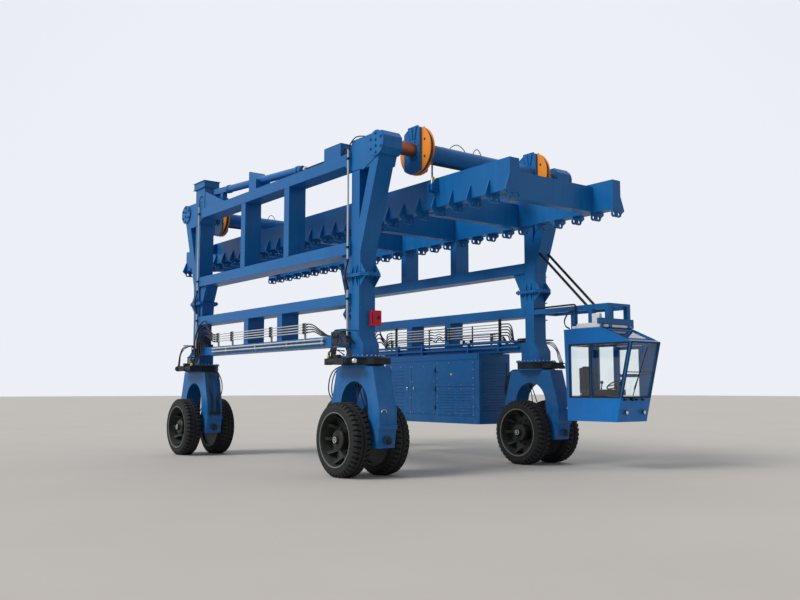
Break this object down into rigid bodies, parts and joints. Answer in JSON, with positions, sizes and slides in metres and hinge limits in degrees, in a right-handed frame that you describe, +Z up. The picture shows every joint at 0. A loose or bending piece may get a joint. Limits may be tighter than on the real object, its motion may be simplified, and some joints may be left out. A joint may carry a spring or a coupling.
{
  "type": "straddle carrier",
  "caption": "Straddle carrier with ladder side frames on steered twin-wheel legs, a raised lifting spreader, rope sheaves, an operator's cab and a power cabinet.",
  "frame": {"origin": "on the ground under the middle of the machine", "axes": "+X forward, towards the cab end; +Y to the machine's left; +Z up"},
  "size_m": [13.6, 6.09, 7.0499],
  "materials": {
    "frame_paint": "semi-gloss blue",
    "cab_paint": "gloss blue",
    "dark_steel": "satin black",
    "worn_copper": "worn primer red",
    "conduit": "matt grey",
    "glass": "clear",
    "seat_plastic": "matt black",
    "red_paint": "gloss red",
    "lamp_chrome": "bright",
    "rope_steel": "greased wire rope",
    "rim_paint": "satin dark grey",
    "tyre": "rubber",
    "sheave_paint": "semi-gloss orange",
    "rod_chrome": "bright"
  },
  "bodies": {
    "root": {"right_chords": "frame_paint", "right_posts": "frame_paint", "left_chords": "frame_paint", "left_posts": "frame_paint", "upper_legs": "frame_paint", "lower_legs": "frame_paint", "corner_struts": "frame_paint", "cross_tubes": "frame_paint", "sheave_shafts": "worn_copper", "sheave_forks": "frame_paint", "slew_drives": "dark_steel", "hoist_barrels": "frame_paint", "service_pipes": "conduit", "power_cabinet": "frame_paint", "radiator_grille": "frame_paint", "cab_support": "frame_paint", "cab_stays": "dark_steel", "cab_shell": "cab_paint", "cab_glass": "glass", "cab_seat": "seat_plastic", "fire_box": "red_paint", "lamps": "lamp_chrome", "pull_ropes": "rope_steel", "hoist_ropes": "rope_steel"},
    "spreader": {"spreader_beams": "frame_paint", "spreader_crossbeams": "frame_paint", "lifting_ears": "frame_paint"},
    "cab_door": {"cab_door": "cab_paint", "door_glass": "glass"},
    "right_rod": {"right_rod": "rod_chrome"},
    "left_rod": {"left_rod": "rod_chrome"},
    "fr_steering": {"fr_yoke": "frame_paint", "fr_axle": "frame_paint"},
    "fr_wheels": {"fr_rims": "rim_paint", "fr_tyres": "tyre"},
    "fr_sheave": {"fr_sheaves": "sheave_paint"},
    "fl_steering": {"fl_yoke": "frame_paint", "fl_axle": "frame_paint"},
    "fl_wheels": {"fl_rims": "rim_paint", "fl_tyres": "tyre"},
    "fl_sheave": {"fl_sheaves": "sheave_paint"},
    "rr_steering": {"rr_yoke": "frame_paint", "rr_axle": "frame_paint"},
    "rr_wheels": {"rr_rims": "rim_paint", "rr_tyres": "tyre"},
    "rr_sheave": {"rr_sheaves": "sheave_paint"},
    "rl_steering": {"rl_yoke": "frame_paint", "rl_axle": "frame_paint"},
    "rl_wheels": {"rl_rims": "rim_paint", "rl_tyres": "tyre"},
    "rl_sheave": {"rl_sheaves": "sheave_paint"}
  },
  "joints": [
    {"name": "hoist", "type": "slide", "parent": "root", "child": "spreader", "axis": [0, 0, -1], "range_m": [0, 2.5], "deforming": ["hoist_ropes"]},
    {"name": "right_cylinder", "type": "slide", "parent": "root", "child": "right_rod", "axis": [0.9981, 0, -0.0619], "range_m": [0, 0.85], "deforming": ["pull_ropes"]},
    {"name": "left_cylinder", "type": "slide", "parent": "root", "child": "left_rod", "axis": [0.9981, 0, -0.0619], "range_m": [0, 0.85]},
    {"name": "fr_sheave_turn", "type": "hinge", "parent": "root", "child": "fr_sheave", "pos_m": [4.348, -1.61, 6.302], "axis": [0, 1, 0], "range_deg": [0, 315]},
    {"name": "fl_sheave_turn", "type": "hinge", "parent": "root", "child": "fl_sheave", "pos_m": [4.348, 1.61, 6.302], "axis": [0, 1, 0], "range_deg": [0, 315]},
    {"name": "rr_sheave_turn", "type": "hinge", "parent": "root", "child": "rr_sheave", "pos_m": [-4.348, -1.61, 6.302], "axis": [0, -1, 0], "range_deg": [0, 315]},
    {"name": "rl_sheave_turn", "type": "hinge", "parent": "root", "child": "rl_sheave", "pos_m": [-4.348, 1.61, 6.302], "axis": [0, -1, 0], "range_deg": [0, 315]},
    {"name": "fr_steer", "type": "hinge", "parent": "root", "child": "fr_steering", "pos_m": [3.63, -2.39, 1], "axis": [0, 0, 1], "range_deg": [-90, 90]},
    {"name": "fr_roll", "type": "hinge", "parent": "fr_steering", "child": "fr_wheels", "pos_m": [3.63, -2.39, 0.7], "axis": [0, 1, 0], "continuous": true},
    {"name": "fl_steer", "type": "hinge", "parent": "root", "child": "fl_steering", "pos_m": [3.63, 2.39, 1], "axis": [0, 0, 1], "range_deg": [-90, 90]},
    {"name": "fl_roll", "type": "hinge", "parent": "fl_steering", "child": "fl_wheels", "pos_m": [3.63, 2.39, 0.7], "axis": [0, 1, 0], "continuous": true},
    {"name": "rr_steer", "type": "hinge", "parent": "root", "child": "rr_steering", "pos_m": [-3.63, -2.39, 1], "axis": [0, 0, 1], "range_deg": [-90, 90]},
    {"name": "rr_roll", "type": "hinge", "parent": "rr_steering", "child": "rr_wheels", "pos_m": [-3.63, -2.39, 0.7], "axis": [0, 1, 0], "continuous": true},
    {"name": "rl_steer", "type": "hinge", "parent": "root", "child": "rl_steering", "pos_m": [-3.63, 2.39, 1], "axis": [0, 0, 1], "range_deg": [-90, 90]},
    {"name": "rl_roll", "type": "hinge", "parent": "rl_steering", "child": "rl_wheels", "pos_m": [-3.63, 2.39, 0.7], "axis": [0, 1, 0], "continuous": true},
    {"name": "cab_door_hinge", "type": "hinge", "parent": "root", "child": "cab_door", "pos_m": [5.41, 3.024, 1.8], "axis": [0, 0, 1], "range_deg": [0, 95]}
  ],
  "couplings": [
    {"joint": "right_cylinder", "follows": "hoist", "ratio": 0.34},
    {"joint": "left_cylinder", "follows": "hoist", "ratio": 0.34},
    {"joint": "fr_sheave_turn", "follows": "hoist", "rad_per_m": 2.1882},
    {"joint": "fl_sheave_turn", "follows": "hoist", "rad_per_m": 2.1882},
    {"joint": "rr_sheave_turn", "follows": "hoist", "rad_per_m": 2.1882},
    {"joint": "rl_sheave_turn", "follows": "hoist", "rad_per_m": 2.1882}
  ]
}
